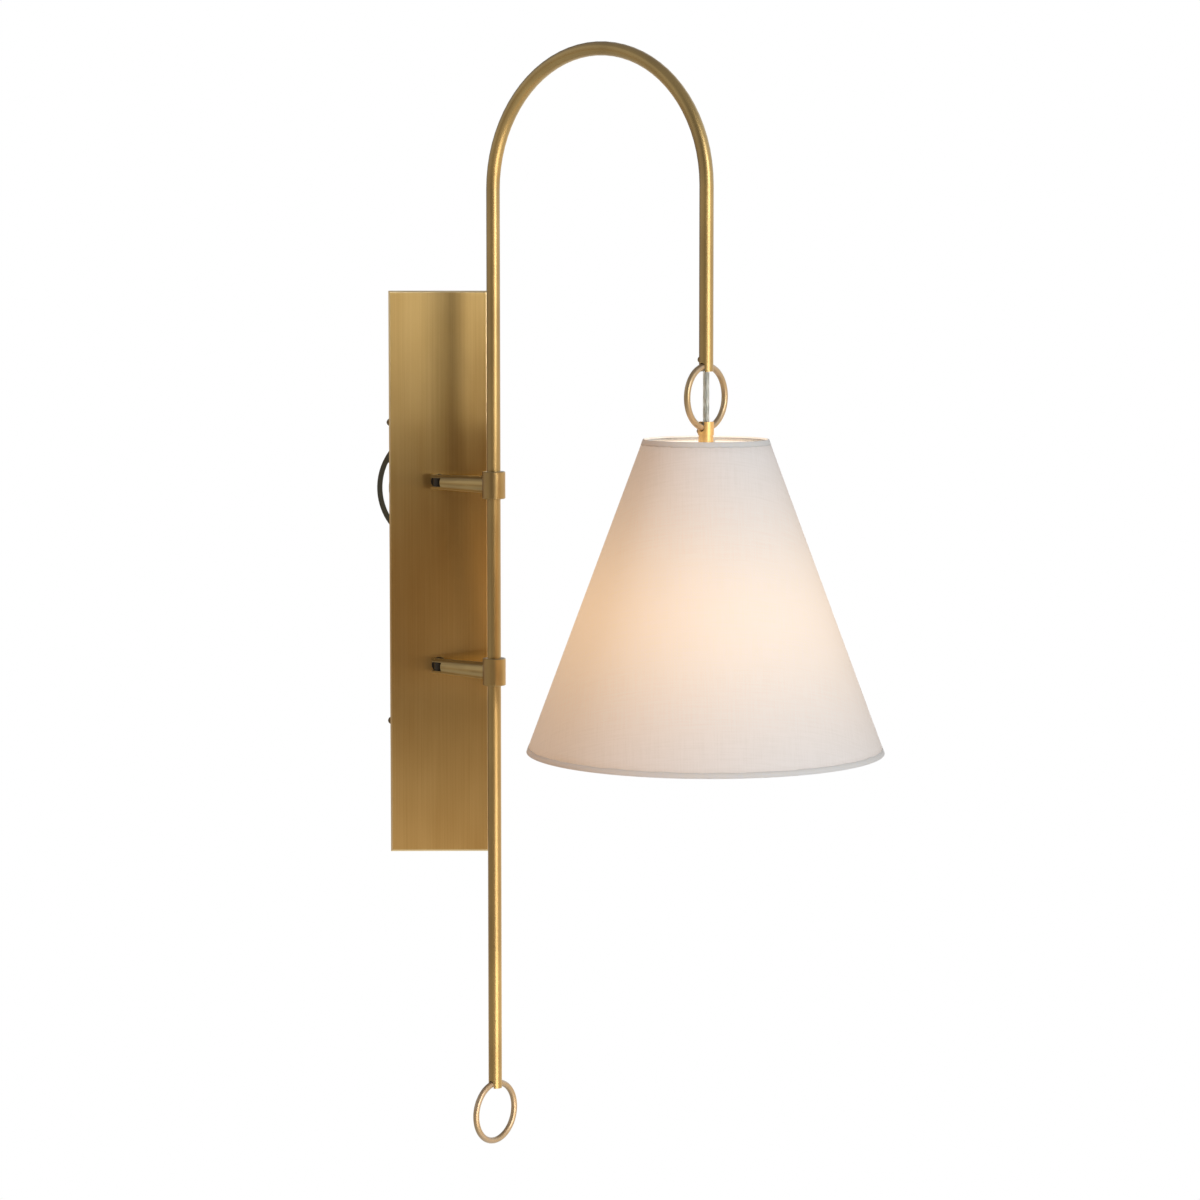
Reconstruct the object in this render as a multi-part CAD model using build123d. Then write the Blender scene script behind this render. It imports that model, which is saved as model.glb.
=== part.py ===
"""Swing arm wall lamp: a tall brass wall plate carries two short forked arms on
vertical pins. The arms hold a long rod that bends over in a crook, and a linen
cone shade hangs from the crook's end by a brass ring.

Millimetres. The origin is the centre of the wall box, on the wall. +X is to the
right for someone who faces the wall, +Y goes into the wall and +Z is up.
"""
from build123d import *
import os
from math import sqrt

# Wall plate: a shallow brass pan, open at the back
plate_width = 82.55
plate_height = 469.9
plate_depth = 20.0
plate_sheet = 1.2
plate_bend = 0.4
plate_drop = 70.0

# Crossbar: the stamped disc that is screwed to the wall box
crossbar_radius = 52.3
crossbar_sheet = 2.0
crossbar_turn = 10.0
crossbar_slot_radius = 45.2
crossbar_slot_width = 5.4
crossbar_slot_half_sweep = 34.7
box_screw_spacing = 69.85
box_screw_hole = 4.9
ground_screw_reach = 29.0
ground_screw_turn = 35.0

# Bracket: the folded steel strap that the plate is screwed to
bracket_sheet = 2.0
bracket_width = 40.0
bracket_ear_height = 16.0
bracket_ear_depth = 14.0
bracket_bend = 1.0
side_screw_spread = 250.8
side_screw_diameter = 4.0
side_screw_length = 8.0
side_screw_head = 6.2
side_screw_head_height = 2.4
driver_slot_width = 0.9
driver_slot_depth = 0.9

# Nipples and lock nuts, at the crossbar and at the spider
nipple_diameter = 9.6
nipple_bore = 6.6
nipple_reach = 12.0
nut_across_flats = 14.0
nut_height = 3.5

# Knuckles: a fixed tongue on the plate inside the fork of each arm
arm_spread = 153.6
arm_diameter = 12.5
arm_root_diameter = 14.6
arm_length = 61.0
swing_rest = 50.0
pivot_reach = 11.0
pin_diameter = 3.5
pin_chamfer = 0.3
fork_slot_height = 7.2
fork_slot_spare = 3.0
fork_washer_sheet = 0.6
tongue_width = 8.0
knuckle_base_depth = 3.0
knuckle_shank_diameter = 8.0
knuckle_shank_spare = 1.2
knuckle_washer_diameter = 17.0
knuckle_washer_sheet = 1.2
knuckle_nut_flats = 13.0
knuckle_nut_height = 5.0

# Collars that hold the rod at the end of the arms
collar_diameter = 19.0
collar_height = 22.3
collar_edge = 0.5
spigot_diameter = 8.0
spigot_depth = 2.6
grub_diameter = 4.0
grub_length = 3.2

# Crook: the rod, its arch and its short leg, one bent tube
tube_diameter = 11.1
tube_wall = 1.2
arch_radius = 109.0
long_leg = 741.5
short_leg = 143.5
spring_height = 247.5
plug_length = 18.0

# Rings at both ends of the crook
ring_radius = 24.0
ring_wire = 5.0
foot_ring_bite = 6.0
hanger_ring_bite = 6.6
hub_ring_bite = 7.5
ring_screw_diameter = 3.0
ring_screw_head = 5.4
ring_screw_head_height = 2.2
ring_screw_rise = 9.0

# Cord, seen through the hanger ring
cord_diameter = 5.0

# Hub between the hanger ring and the nipple that carries the shade
hub_diameter = 12.4
hub_length = 25.6
hub_step = 0.3
hub_groove_width = 0.8
hub_groove_depth = 0.5
hub_groove_drop = 10.6
hub_thread_depth = 9.0

# Shade: linen on a stiff backing, with wire rims and a recessed spider
shade_top_radius = 48.8
shade_bottom_radius = 139.5
shade_height = 244.1
shade_wall = 0.9
shade_drop = 13.6
trim_sheet = 0.35
trim_height = 4.4
rim_wire = 2.6
spider_recess = 50.8
spider_wire = 3.0
spider_washer_diameter = 26.0
spider_washer_sheet = 1.5
spider_arms = 3

# Socket and bulb
cap_diameter = 34.5
cap_height = 20.0
cap_dome = 6.0
socket_sheet = 0.8
shell_lap = 10.0
shell_height = 42.0
liner_sheet = 0.7
screw_shell_height = 26.0
screw_shell_sheet = 0.5
insulator_height = 8.0
contact_sheet = 0.8
contact_width = 7.0
bulb_base_diameter = 26.0
bulb_base_height = 24.0
bulb_contact_diameter = 10.0
bulb_contact_height = 2.0
bulb_diameter = 60.0
bulb_glass_height = 84.0
bulb_neck_diameter = 24.0
bulb_wall = 0.9
bulb_neck_seat = 3.0

# Clearances
running_gap = 0.05
press_gap = 0.02
thread_gap = 0.04
braze_gap = 0.05
slip_gap = 0.3
cord_gap = 0.3
overrun = 1.0

# Places worked out from the sizes above
plate_z = -plate_drop
plate_front = crossbar_sheet + plate_depth
plate_inside = plate_front - plate_sheet
plate_half = plate_width / 2
side_screw_heights = [plate_z - side_screw_spread / 2, plate_z + side_screw_spread / 2]
side_screw_reach = crossbar_sheet + bracket_sheet + bracket_ear_depth / 2
bracket_half = plate_half - plate_sheet - slip_gap
arm_heights = {"upper": plate_z + arm_spread / 2, "lower": plate_z - arm_spread / 2}
pivot_y = -(plate_front + pivot_reach)
arm_radius = arm_diameter / 2
tongue_height = fork_slot_height - 2 * (fork_washer_sheet + 2 * running_gap)
fork_depth = tongue_width / 2 + fork_slot_spare
tube_radius = tube_diameter / 2
tube_bore = tube_radius - tube_wall
foot_z = spring_height - long_leg
hook_z = spring_height - short_leg
shade_x = arm_length + 2 * arch_radius
ring_reach = ring_radius + ring_wire / 2
foot_ring_z = foot_z + foot_ring_bite - ring_reach
hanger_ring_z = hook_z + hanger_ring_bite - ring_reach
hub_top = hanger_ring_z - ring_reach + hub_ring_bite
shade_top = hub_top - shade_drop
shade_bottom = shade_top - shade_height
hub_bottom = hub_top - hub_length
spider_z = shade_top - spider_recess
cap_top = spider_z - spider_washer_sheet
cap_bottom = cap_top - cap_height
shell_top = cap_bottom + shell_lap
shell_bottom = shell_top - shell_height
cord_bore = cord_diameter / 2 + cord_gap
shade_slope = sqrt(1 + ((shade_bottom_radius - shade_top_radius) / shade_height) ** 2)
shade_level_wall = shade_wall * shade_slope
trim_level_sheet = trim_sheet * shade_slope
shell_outer = cap_diameter / 2 - socket_sheet - press_gap
liner_outer = shell_outer - socket_sheet - press_gap
insulator_outer = liner_outer - liner_sheet - press_gap
screw_shell_inner = bulb_base_diameter / 2 + slip_gap
insulator_bottom = shell_top - insulator_height
bulb_contact_top = insulator_bottom - 2 * contact_sheet
bulb_base_top = bulb_contact_top - bulb_contact_height
bulb_base_bottom = bulb_base_top - bulb_base_height
bulb_tip = bulb_base_bottom - bulb_glass_height + bulb_neck_seat

# The swinging half is drawn with its pins on the Z axis and its arms along +X
swing_place = Pos(0, pivot_y, 0) * Rot(0, 0, swing_rest - 90)


# Shared shapes


def out_bar(radius, start, end, x=0.0, z=0.0):
    """Round bar that comes straight out of the wall, from start to end."""
    return extrude(Plane.XZ.offset(start) * Pos(x, z) * Circle(radius), amount=end - start)


def side_bar(radius, start, end, y=0.0, z=0.0):
    """Round bar along +X, from start to end."""
    return extrude(Plane.YZ.offset(start) * Pos(y, z) * Circle(radius), amount=end - start)


def post(radius, bottom, top, x=0.0, y=0.0):
    """Upright round bar, from bottom to top."""
    return Pos(x, y, bottom) * Cylinder(radius, top - bottom, align=(Align.CENTER, Align.CENTER, Align.MIN))


def turned(points):
    """Solid of revolution about the shade's upright axis, from (radius, height) points."""
    profile = make_face(Polyline(*points, close=True))
    return Pos(shade_x, 0, 0) * revolve(Plane.XZ * profile, Axis.Z)


def hoop(radius, wire, z):
    """Level wire ring about the shade's axis."""
    return Pos(shade_x, 0, z) * Torus(radius, wire / 2)


def group(solids):
    """Separate like solids that share one node."""
    return Compound(children=list(solids))


def screw(head, head_height, diameter, length):
    """Round-head screw with a driver slot: its seat is at z = 0 and its shank runs down."""
    shank = post(diameter / 2, -length, 0)
    dome_radius = ((head / 2) ** 2 + head_height**2) / (2 * head_height)
    dome = Pos(0, 0, head_height - dome_radius) * Sphere(dome_radius)
    dome &= post(head / 2, 0, head_height)
    slot = Pos(0, 0, head_height) * Box(head, driver_slot_width, 2 * driver_slot_depth)
    return shank + dome - slot


# Wall side


def make_backplate():
    block = extrude(
        Plane.XZ.offset(crossbar_sheet) * Pos(0, plate_z) * Rectangle(plate_width, plate_height),
        amount=plate_depth,
    )
    block = fillet(block.faces().sort_by(Axis.Y)[0].edges(), plate_sheet + plate_bend)
    hollow = extrude(
        Plane.XZ.offset(crossbar_sheet)
        * Pos(0, plate_z)
        * Rectangle(plate_width - 2 * plate_sheet, plate_height - 2 * plate_sheet),
        amount=plate_depth - plate_sheet,
    )
    hollow = fillet(hollow.faces().sort_by(Axis.Y)[0].edges(), plate_bend)
    pan = block - hollow
    for height in arm_heights.values():
        pan -= out_bar(knuckle_shank_diameter / 2 + slip_gap / 2, plate_inside - overrun, plate_front + overrun, z=height)
    for height in side_screw_heights:
        pan -= side_bar(
            side_screw_diameter / 2 + slip_gap / 2, -plate_width, plate_width, y=-side_screw_reach, z=height
        )
    return pan


def make_crossbar():
    disc = Circle(crossbar_radius) - Circle(nipple_diameter / 2 + thread_gap)
    for side in (0, 180):
        middle = side + crossbar_turn
        arc = CenterArc(
            (0, 0), crossbar_slot_radius, middle - crossbar_slot_half_sweep, 2 * crossbar_slot_half_sweep
        )
        disc -= SlotArc(arc, crossbar_slot_width)
        disc -= Rot(0, 0, middle) * Pos(box_screw_spacing / 2, 0) * Circle(box_screw_hole / 2)
    disc -= Rot(0, 0, ground_screw_turn) * Pos(ground_screw_reach, 0) * Circle(side_screw_diameter / 2 + thread_gap)
    return extrude(Plane.XZ * disc, amount=crossbar_sheet)


def make_bracket():
    strap = Pos(0, plate_z) * Rectangle(bracket_width, side_screw_spread)
    for height in side_screw_heights:
        strap += Pos(0, height) * Rectangle(2 * bracket_half, bracket_ear_height)
    strap -= Circle(nipple_diameter / 2 + slip_gap)
    bracket = extrude(Plane.XZ.offset(crossbar_sheet) * strap, amount=bracket_sheet)
    ear = Rectangle(bracket_sheet, bracket_ear_height)
    for height in side_screw_heights:
        for side in (-1, 1):
            bracket += extrude(
                Plane.XZ.offset(crossbar_sheet) * Pos(side * (bracket_half - bracket_sheet / 2), height) * ear,
                amount=bracket_sheet + bracket_ear_depth,
            )
    folds = [
        edge
        for edge in bracket.edges().filter_by(Axis.Z).group_by(Axis.Y)[-1]
        if abs(abs(edge.center().X) - bracket_half) < press_gap
    ]
    bracket = fillet(folds, bracket_bend)
    for height in side_screw_heights:
        bracket -= side_bar(
            side_screw_diameter / 2 + thread_gap, -plate_width, plate_width, y=-side_screw_reach, z=height
        )
    return bracket


def make_crossbar_nipple():
    tube = Circle(nipple_diameter / 2) - Circle(nipple_bore / 2)
    return extrude(Plane.XZ * tube, amount=nipple_reach)


def lock_nut(seat):
    """Hexagon nut for a nipple, on a plane that it rests on."""
    flats = RegularPolygon(nut_across_flats / 2, 6, major_radius=False)
    flats -= Circle(nipple_diameter / 2 + thread_gap)
    return extrude(seat * flats, amount=nut_height)


def make_ground_screw():
    driver = screw(side_screw_head, side_screw_head_height, side_screw_diameter, crossbar_sheet)
    spot = Rot(0, 0, ground_screw_turn) * Pos(ground_screw_reach, 0)
    return Plane.XZ.offset(crossbar_sheet) * spot * driver


def make_side_screws():
    fastener = screw(side_screw_head, side_screw_head_height, side_screw_diameter, side_screw_length)
    screws = []
    for height in side_screw_heights:
        for side in (-1, 1):
            screws.append(Pos(side * plate_half, -side_screw_reach, height) * Rot(0, side * 90, 0) * fastener)
    return group(screws)


def make_knuckle(height):
    base = out_bar(arm_radius, plate_front, plate_front + knuckle_base_depth, z=height)
    plan = Pos(0, pivot_y) * Circle(tongue_width / 2)
    plan += Pos(0, (pivot_y - plate_front) / 2) * Rectangle(tongue_width, pivot_reach)
    plan -= Pos(0, pivot_y) * Circle(pin_diameter / 2 + running_gap)
    tongue = extrude(Plane.XY.offset(height - tongue_height / 2) * plan, amount=tongue_height)
    shank_end = plate_inside - knuckle_washer_sheet - knuckle_nut_height - knuckle_shank_spare
    shank = out_bar(knuckle_shank_diameter / 2, shank_end, plate_front, z=height)
    return base + tongue + shank


def make_knuckle_washers():
    ring = Circle(knuckle_washer_diameter / 2) - Circle(knuckle_shank_diameter / 2 + slip_gap / 2)
    seat = Plane.XZ.offset(plate_inside - knuckle_washer_sheet)
    return group(extrude(seat * Pos(0, z) * ring, amount=knuckle_washer_sheet) for z in arm_heights.values())


def make_knuckle_nuts():
    flats = RegularPolygon(knuckle_nut_flats / 2, 6, major_radius=False)
    flats -= Circle(knuckle_shank_diameter / 2 + thread_gap)
    seat = Plane.XZ.offset(plate_inside - knuckle_washer_sheet - knuckle_nut_height)
    return group(extrude(seat * Pos(0, z) * flats, amount=knuckle_nut_height) for z in arm_heights.values())


def make_fork_washers():
    ring = Circle(tongue_width / 2) - Circle(pin_diameter / 2 + slip_gap / 2)
    washers = []
    for height in arm_heights.values():
        for bottom in (tongue_height / 2 + running_gap, -tongue_height / 2 - running_gap - fork_washer_sheet):
            washers.append(extrude(Plane.XY.offset(height + bottom) * Pos(0, pivot_y) * ring, amount=fork_washer_sheet))
    return group(washers)


# Swinging side


def make_pivot_pins():
    length = 2 * sqrt(arm_radius**2 - (pin_diameter / 2) ** 2)
    pins = []
    for height in arm_heights.values():
        pin = post(pin_diameter / 2, height - length / 2, height + length / 2)
        pins.append(chamfer(pin.edges(), pin_chamfer))
    return group(pins)


def make_arm(height):
    fork = side_bar(arm_radius, -arm_radius, fork_depth, z=height)
    fork_plan = Circle(arm_radius) + Pos(fork_depth / 2, 0) * Rectangle(fork_depth, arm_diameter)
    fork &= extrude(Plane.XY.offset(height - arm_radius) * fork_plan, amount=arm_diameter)
    taper = make_face(
        Polyline(
            (fork_depth, height),
            (fork_depth, height + arm_radius),
            (arm_length, height + arm_root_diameter / 2),
            (arm_length, height),
            close=True,
        )
    )
    bar = fork + revolve(Plane.XZ * taper, Axis((0, 0, height), (1, 0, 0)))
    bar -= Pos(fork_depth - arm_length / 2, 0, height) * Box(arm_length, 2 * arm_diameter, fork_slot_height)
    bar -= post(pin_diameter / 2 + press_gap, height - arm_diameter, height + arm_diameter)
    bar -= post(
        collar_diameter / 2 + braze_gap, height - collar_height, height + collar_height, x=arm_length
    )
    spigot_start = arm_length - collar_diameter
    spigot_end = arm_length - collar_diameter / 2 + spigot_depth
    return bar + side_bar(spigot_diameter / 2, spigot_start, spigot_end, z=height)


def make_collar(height):
    half = collar_height / 2
    body = post(collar_diameter / 2, height - half, height + half, x=arm_length)
    body -= post(tube_radius + running_gap, height - collar_height, height + collar_height, x=arm_length)
    ends = body.faces().filter_by(Axis.Z)
    body = chamfer(ends.edges(), collar_edge)
    socket_end = arm_length - collar_diameter / 2 + spigot_depth + braze_gap
    body -= side_bar(spigot_diameter / 2 + braze_gap, 0, socket_end, z=height)
    grub_way = extrude(
        Plane.XZ * Pos(arm_length, height) * Circle(grub_diameter / 2 + thread_gap), amount=-collar_diameter
    )
    return body - grub_way


def make_collar_grubs():
    start = tube_radius + running_gap
    flats = RegularPolygon(grub_diameter / 4, 6)
    grubs = []
    for height in arm_heights.values():
        seat = Plane.XZ.offset(-start) * Pos(arm_length, height)
        mouth = Plane.XZ.offset(-start - grub_length) * Pos(arm_length, height)
        grub = extrude(seat * Circle(grub_diameter / 2), amount=-grub_length)
        grubs.append(grub - extrude(mouth * flats, amount=grub_length / 2))
    return group(grubs)


def crook_bar(radius, foot, hook):
    """Round bar along the crook's centreline, from the foot over the arch to the hook."""
    ring_face = Plane.XY.offset(spring_height) * Pos(arm_length, 0) * Circle(radius)
    arch_axis = Axis((arm_length + arch_radius, 0, spring_height), (0, 1, 0))
    arch = revolve(ring_face, arch_axis, revolution_arc=180)
    return post(radius, foot, spring_height, x=arm_length) + arch + post(radius, hook, spring_height, x=shade_x)


def ring_notch(x, end_z, bite):
    """Round-bottomed notch across a bar's lower end, for a ring's wire."""
    half = ring_wire / 2 + braze_gap
    top = end_z + bite - ring_wire / 2
    across = 2 * tube_diameter
    round_end = extrude(Plane.XZ * Pos(x, top) * Circle(half), amount=across / 2, both=True)
    mouth_height = bite + ring_wire
    return round_end + Pos(x, 0, top - mouth_height / 2) * Box(2 * half, across, mouth_height)


def make_crook_tube():
    tube = crook_bar(tube_radius, foot_z, hook_z) - crook_bar(tube_bore, foot_z - overrun, hook_z - overrun)
    tube -= ring_notch(arm_length, foot_z, foot_ring_bite)
    tube -= ring_notch(shade_x, hook_z, hanger_ring_bite)
    return tube - side_bar(
        ring_screw_diameter / 2 + thread_gap, shade_x - tube_diameter, shade_x, z=hook_z + ring_screw_rise
    )


def make_foot_plug():
    plug = post(tube_bore - press_gap, foot_z, foot_z + plug_length, x=arm_length)
    return plug - ring_notch(arm_length, foot_z, foot_ring_bite)


def make_foot_ring():
    return Pos(arm_length, 0, foot_ring_z) * Rot(0, 90, 0) * Torus(ring_radius, ring_wire / 2)


def make_hook_plug():
    plug = post(tube_bore - press_gap, hook_z, hook_z + plug_length, x=shade_x)
    plug -= post(cord_bore, hook_z - overrun, hook_z + plug_length + overrun, x=shade_x)
    plug -= ring_notch(shade_x, hook_z, hanger_ring_bite)
    return plug - side_bar(
        ring_screw_diameter / 2 + thread_gap, shade_x - tube_diameter, shade_x, z=hook_z + ring_screw_rise
    )


def make_hanger_ring():
    """Two half rings: their ends stop short of the cord, inside the hook and the hub."""
    ring = Pos(shade_x, 0, hanger_ring_z) * Rot(0, 90, 0) * Torus(ring_radius, ring_wire / 2)
    halves = ring - Pos(shade_x, 0, hanger_ring_z) * Box(4 * ring_wire, 2 * cord_bore, 4 * ring_radius)
    return group(halves.solids())


def make_ring_screws():
    tip = cord_bore + slip_gap
    pieces = []
    for seat, height in ((tube_radius, hook_z + ring_screw_rise), (hub_diameter / 2, hub_top - hub_ring_bite)):
        fastener = screw(ring_screw_head, ring_screw_head_height, ring_screw_diameter, seat - tip)
        pieces.append(Pos(shade_x - seat, 0, height) * Rot(0, -90, 0) * fastener)
    return group(pieces)


def make_lamp_cord():
    cord_foot = arm_heights["upper"]
    cord_end = cap_top - cap_dome
    return crook_bar(cord_diameter / 2, cord_foot, cord_end)


def make_hub():
    outer = hub_diameter / 2
    lower = outer - hub_step
    groove_top = hub_top - hub_groove_drop
    groove_bottom = groove_top - hub_groove_width
    thread = nipple_diameter / 2 + thread_gap
    thread_top = hub_bottom + hub_thread_depth
    body = turned(
        [
            (cord_bore, hub_top),
            (outer, hub_top),
            (outer, groove_top),
            (outer - hub_groove_depth - hub_step, groove_top),
            (outer - hub_groove_depth - hub_step, groove_bottom),
            (lower, groove_bottom),
            (lower, hub_bottom),
            (thread, hub_bottom),
            (thread, thread_top),
            (cord_bore, thread_top),
        ]
    )
    notch = Rot(180, 0, 0) * Pos(0, 0, -hub_top) * ring_notch(shade_x, 0, hub_ring_bite)
    body -= notch
    screw_height = hub_top - hub_ring_bite
    return body - side_bar(ring_screw_diameter / 2 + thread_gap, shade_x - hub_diameter, shade_x, z=screw_height)


def make_shade_nipple():
    outer = nipple_diameter / 2
    bottom = cap_top - cap_dome
    top = hub_bottom + hub_thread_depth - slip_gap
    return turned([(nipple_bore / 2, bottom), (outer, bottom), (outer, top), (nipple_bore / 2, top)])


def shade_radius(height):
    """Outer radius of the shade's cone at a height."""
    share = (shade_top - height) / shade_height
    return shade_top_radius + share * (shade_bottom_radius - shade_top_radius)


def make_shade():
    top, bottom = shade_radius(shade_top), shade_radius(shade_bottom)
    return turned(
        [
            (top - shade_level_wall, shade_top),
            (top, shade_top),
            (bottom, shade_bottom),
            (bottom - shade_level_wall, shade_bottom),
        ]
    )


def make_shade_trim(rim, inward):
    """Folded linen tape over a rim: inward is -1 at the top rim and +1 at the bottom rim."""
    edge = rim - inward * press_gap
    fold = edge - inward * trim_sheet
    hem = rim + inward * trim_height
    outside = press_gap
    inside = -shade_level_wall - press_gap
    return turned(
        [
            (shade_radius(hem) + outside, hem),
            (shade_radius(edge) + outside, edge),
            (shade_radius(edge) + inside, edge),
            (shade_radius(hem) + inside, hem),
            (shade_radius(hem) + inside - trim_level_sheet, hem),
            (shade_radius(fold) + inside - trim_level_sheet, fold),
            (shade_radius(fold) + outside + trim_level_sheet, fold),
            (shade_radius(hem) + outside + trim_level_sheet, hem),
        ]
    )


def rim_wire_place(rim, inward):
    """Radius and height of a rim wire, just inside its trim."""
    height = rim + inward * trim_height / 2
    radius = shade_radius(height) - shade_level_wall - 2 * press_gap - trim_level_sheet
    return radius - rim_wire / 2 * shade_slope, height


def make_rim_wire(rim, inward):
    radius, height = rim_wire_place(rim, inward)
    return hoop(radius, rim_wire, height)


def make_spider():
    hole = nipple_diameter / 2 + slip_gap / 2
    washer = turned(
        [
            (hole, cap_top),
            (spider_washer_diameter / 2, cap_top),
            (spider_washer_diameter / 2, spider_z),
            (hole, spider_z),
        ]
    )
    rim_radius, rim_height = rim_wire_place(shade_top, -1)
    inner = Vector(spider_washer_diameter / 2 - spider_wire / 2, 0, cap_top + spider_wire / 2)
    outer = Vector(rim_radius, 0, rim_height)
    run = Plane(origin=inner, z_dir=outer - inner)
    wire = extrude(run * Circle(spider_wire / 2), amount=(outer - inner).length)
    spider = washer
    for index in range(spider_arms):
        spider += Pos(shade_x, 0, 0) * Rot(0, 0, index * 360 / spider_arms) * wire
    return spider - hoop(rim_radius, rim_wire + 2 * braze_gap, rim_height)


# Socket and bulb


def make_socket_cap():
    outer = cap_diameter / 2
    inner = outer - socket_sheet
    hole = nipple_diameter / 2 + thread_gap
    crown = outer - cap_dome
    return turned(
        [
            (hole, cap_top),
            (crown, cap_top),
            (outer, cap_top - cap_dome),
            (outer, cap_bottom),
            (inner, cap_bottom),
            (inner, cap_top - cap_dome - socket_sheet / 2),
            (crown - socket_sheet / 2, cap_top - socket_sheet),
            (hole, cap_top - socket_sheet),
        ]
    )


def sleeve(outer, sheet, bottom, top):
    """Thin upright tube about the shade's axis."""
    return turned([(outer - sheet, bottom), (outer, bottom), (outer, top), (outer - sheet, top)])


def make_socket_shell():
    return sleeve(shell_outer, socket_sheet, shell_bottom, shell_top)


def make_socket_liner():
    return sleeve(liner_outer, liner_sheet, shell_bottom, shell_top)


def make_socket_insulator():
    return post(insulator_outer, insulator_bottom, shell_top, x=shade_x)


def make_screw_shell():
    outer = screw_shell_inner + screw_shell_sheet
    return sleeve(outer, screw_shell_sheet, insulator_bottom - screw_shell_height, insulator_bottom)


def make_socket_contact():
    """Sprung brass tongue under the insulator, which the bulb's tip presses."""
    leaf = Box(bulb_base_diameter / 2, contact_width, contact_sheet)
    foot = Box(contact_sheet * 3, contact_width, 2 * contact_sheet)
    leaf_place = Pos(shade_x, 0, insulator_bottom - 1.5 * contact_sheet)
    foot_place = Pos(shade_x + bulb_base_diameter / 4 - 1.5 * contact_sheet, 0, insulator_bottom - contact_sheet)
    return leaf_place * leaf + foot_place * foot


def make_bulb_base():
    outer = bulb_base_diameter / 2
    crown = bulb_contact_diameter / 2 + 2 * bulb_wall
    cup = turned(
        [
            (0, bulb_base_top),
            (crown, bulb_base_top),
            (outer, bulb_base_top - (outer - crown) / 2),
            (outer, bulb_base_bottom),
            (outer - bulb_wall, bulb_base_bottom),
            (outer - bulb_wall, bulb_base_top - outer + crown),
            (0, bulb_base_top - outer + crown),
        ]
    )
    button = post(bulb_contact_diameter / 2, bulb_base_top, bulb_contact_top, x=shade_x)
    return cup + button


def bulb_profile(inset):
    """Half outline of the bulb's glass, from its neck down to its tip."""
    neck = bulb_neck_diameter / 2 - inset
    globe = bulb_diameter / 2
    neck_top = bulb_base_bottom + bulb_neck_seat
    globe_z = bulb_tip + globe
    neck_end = globe_z + globe + bulb_neck_diameter / 3
    tip = (0, bulb_tip + inset)
    side = (globe - inset, globe_z)
    flank = TangentArc(side, (neck + (globe - neck) / 3, (globe_z + neck_end) / 2), tangent=(0, 1))
    shoulder = Spline(flank @ 1, (neck, neck_end), tangents=[flank % 1, (0, 1)])
    return [
        Line((0, neck_top), (neck, neck_top)),
        Line((neck, neck_top), (neck, neck_end)),
        shoulder,
        flank,
        CenterArc((0, globe_z), globe - inset, -90, 90),
        Line(tip, (0, neck_top)),
    ]


def make_bulb_glass():
    outer = revolve(Plane.XZ * make_face(bulb_profile(0)), Axis.Z)
    inner = revolve(Plane.XZ * make_face(bulb_profile(bulb_wall)), Axis.Z)
    return Pos(shade_x, 0, 0) * (outer - inner)


fixed_nodes = {
    "backplate": make_backplate(),
    "crossbar": make_crossbar(),
    "mounting_bracket": make_bracket(),
    "crossbar_nipple": make_crossbar_nipple(),
    "crossbar_nut": lock_nut(Plane.XZ.offset(crossbar_sheet + bracket_sheet)),
    "ground_screw": make_ground_screw(),
    "side_screws": make_side_screws(),
    "upper_knuckle": make_knuckle(arm_heights["upper"]),
    "lower_knuckle": make_knuckle(arm_heights["lower"]),
    "knuckle_washers": make_knuckle_washers(),
    "knuckle_nuts": make_knuckle_nuts(),
    "fork_washers": make_fork_washers(),
}

swinging_nodes = {
    "pivot_pins": make_pivot_pins(),
    "upper_arm": make_arm(arm_heights["upper"]),
    "lower_arm": make_arm(arm_heights["lower"]),
    "upper_collar": make_collar(arm_heights["upper"]),
    "lower_collar": make_collar(arm_heights["lower"]),
    "collar_grubs": make_collar_grubs(),
    "crook_tube": make_crook_tube(),
    "foot_plug": make_foot_plug(),
    "foot_ring": make_foot_ring(),
    "hook_plug": make_hook_plug(),
    "hanger_ring": make_hanger_ring(),
    "ring_screws": make_ring_screws(),
    "lamp_cord": make_lamp_cord(),
    "hub": make_hub(),
    "shade_nipple": make_shade_nipple(),
    "shade": make_shade(),
    "shade_top_trim": make_shade_trim(shade_top, -1),
    "shade_bottom_trim": make_shade_trim(shade_bottom, 1),
    "shade_top_wire": make_rim_wire(shade_top, -1),
    "shade_bottom_wire": make_rim_wire(shade_bottom, 1),
    "shade_spider": make_spider(),
    "spider_nut": lock_nut(Plane((shade_x, 0, spider_z))),
    "socket_cap": make_socket_cap(),
    "socket_shell": make_socket_shell(),
    "socket_liner": make_socket_liner(),
    "socket_insulator": make_socket_insulator(),
    "socket_screw_shell": make_screw_shell(),
    "socket_contact": make_socket_contact(),
    "bulb_base": make_bulb_base(),
    "bulb_glass": make_bulb_glass(),
}

os.makedirs("parts", exist_ok=True)
for name, solid in fixed_nodes.items():
    export_step(solid, f"parts/{name}.step")
for name, solid in swinging_nodes.items():
    export_step(swing_place * solid, f"parts/{name}.step")
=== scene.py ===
"""Dresses a swing arm wall lamp: brushed and drawn brass, a lit linen shade, its cord and its fittings.

Laid out as an add-on, and run as a script. Metres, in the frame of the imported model: the origin is the
centre of the wall box on the wall, +X is right, +Y goes into the wall and +Z is up.
"""
from collections import namedtuple
from math import atan2, cos, hypot, pi, radians, sin, sqrt, tau

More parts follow.
